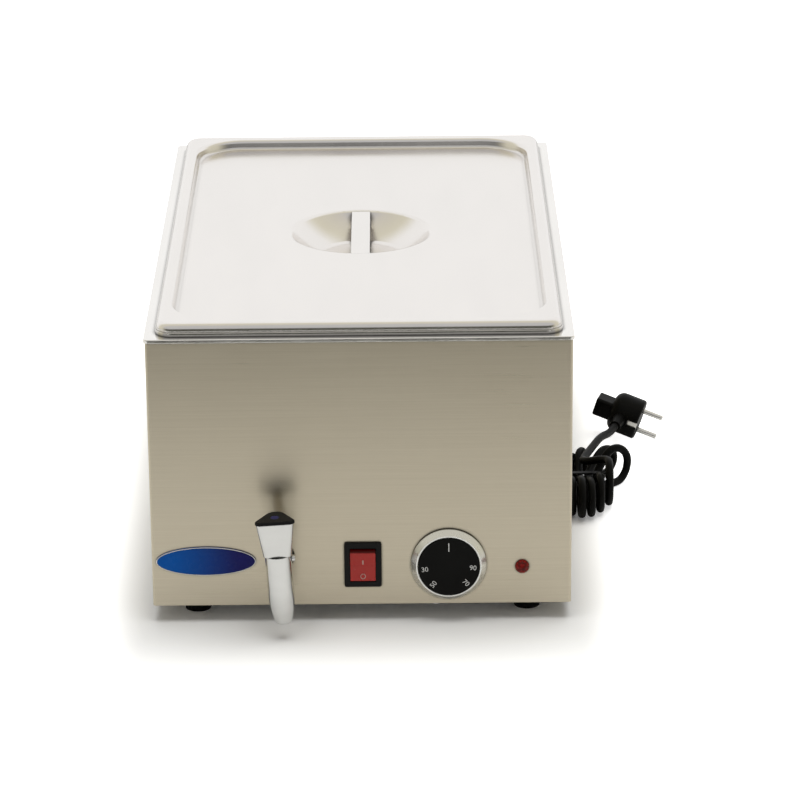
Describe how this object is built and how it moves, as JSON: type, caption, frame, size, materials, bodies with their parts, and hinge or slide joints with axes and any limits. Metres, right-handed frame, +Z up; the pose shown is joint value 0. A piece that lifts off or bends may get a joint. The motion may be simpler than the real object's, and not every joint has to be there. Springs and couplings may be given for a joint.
{
  "type": "electric bain-marie",
  "caption": "Countertop electric bain-marie for one full gastronorm pan, with lid, drain tap, rocker switch, thermostat knob, pilot lamp and bundled cord.",
  "frame": {"origin": "on the table under the middle of the appliance's box, measured without the cord", "axes": "+X to the right seen from the front, +Y from the front panel towards the back, +Z up"},
  "size_m": [0.4448, 0.6763, 0.255],
  "materials": {
    "brushed_panel": "horizontal brushed grain",
    "tank_steel": "satin rolled sheet",
    "lid_steel": "satin, nearly white under soft light",
    "bright_chrome": "polished",
    "plated_steel": "zinc plated",
    "contact_metal": "nickel plated",
    "brass": "machined",
    "black_plastic": "semi gloss",
    "index_blue": "gloss",
    "rocker_red": "gloss, translucent look",
    "lens_red": "gloss, faceted",
    "plate_blue": "blank, with a thin bright rim",
    "foot_rubber": "matt",
    "hose_rubber": "matt silicone",
    "cord_black": "satin",
    "element_sheath": "heat darkened",
    "clamp_aluminium": "mill finish",
    "copper_tube": "drawn copper",
    "thermostat_plastic": "moulded",
    "wire_brown": "insulation",
    "wire_blue": "insulation",
    "wire_green": "insulation",
    "core_mixed": "insulation"
  },
  "bodies": {
    "base": {"casing_wrap": "brushed_panel", "back_panel": "brushed_panel", "well_tank": "tank_steel", "bottom_plate": "tank_steel", "tap_body": "bright_chrome", "tap_stop_screw": "bright_chrome", "casing_screws": "plated_steel", "foot_screws": "plated_steel", "foot_nuts": "plated_steel", "thermostat_screws": "plated_steel", "element_nuts": "plated_steel", "hose_clips": "plated_steel", "bulb_clip": "plated_steel", "switch_terminals": "plated_steel", "earth_stud": "plated_steel", "lamp_nut": "plated_steel", "plug_contacts": "contact_metal", "tap_lock_nut": "brass", "drain_elbow": "brass", "switch_housing": "black_plastic", "cord_gland": "black_plastic", "gland_nut": "black_plastic", "cord_tie": "black_plastic", "lamp_lens": "lens_red", "name_plate": "plate_blue", "foot_front_left": "foot_rubber", "foot_front_right": "foot_rubber", "foot_rear_left": "foot_rubber", "foot_rear_right": "foot_rubber", "tap_seal": "foot_rubber", "drain_hose": "hose_rubber", "cord_lead": "cord_black", "cord_hank": "cord_black", "cord_tail": "cord_black", "strain_relief": "cord_black", "plug_body": "cord_black", "heating_element": "element_sheath", "clamp_plate": "clamp_aluminium", "capillary_bulb": "copper_tube", "thermostat_body": "thermostat_plastic", "overheat_cutout": "thermostat_plastic", "terminal_block": "thermostat_plastic", "lamp_body": "thermostat_plastic", "wire_live": "wire_brown", "wire_control": "wire_brown", "wire_neutral": "wire_blue", "wire_earth": "wire_green", "supply_cores": "core_mixed"},
    "pan": {"gn_pan": "tank_steel"},
    "lid": {"lid": "lid_steel", "lid_handle": "lid_steel"},
    "tap_handle": {"tap_handle": "bright_chrome", "tap_cap": "black_plastic", "tap_index_dot": "index_blue", "tap_spindle": "bright_chrome"},
    "rocker": {"rocker": "rocker_red"},
    "knob": {"knob_dial": "black_plastic", "knob_skirt": "bright_chrome", "knob_spindle": "plated_steel"}
  },
  "joints": [
    {"name": "pan_lift", "type": "slide", "parent": "base", "child": "pan", "axis": [0, 0, 1], "range_m": [0, 0.17]},
    {"name": "lid_lift", "type": "slide", "parent": "pan", "child": "lid", "axis": [0, 0, 1], "range_m": [0, 0.06]},
    {"name": "tap_turn", "type": "hinge", "parent": "base", "child": "tap_handle", "pos_m": [-0.0655, -0.2826, 0.058], "axis": [-0.061, 0, 0.9981], "range_deg": [0, 90]},
    {"name": "rocker_tip", "type": "hinge", "parent": "base", "child": "rocker", "pos_m": [0.001, -0.2471, 0.05], "axis": [-1, 0, 0], "range_deg": [0, 18]},
    {"name": "knob_turn", "type": "hinge", "parent": "base", "child": "knob", "pos_m": [0.0705, -0.2481, 0.05], "axis": [0, 1, 0], "range_deg": [0, 270]}
  ]
}
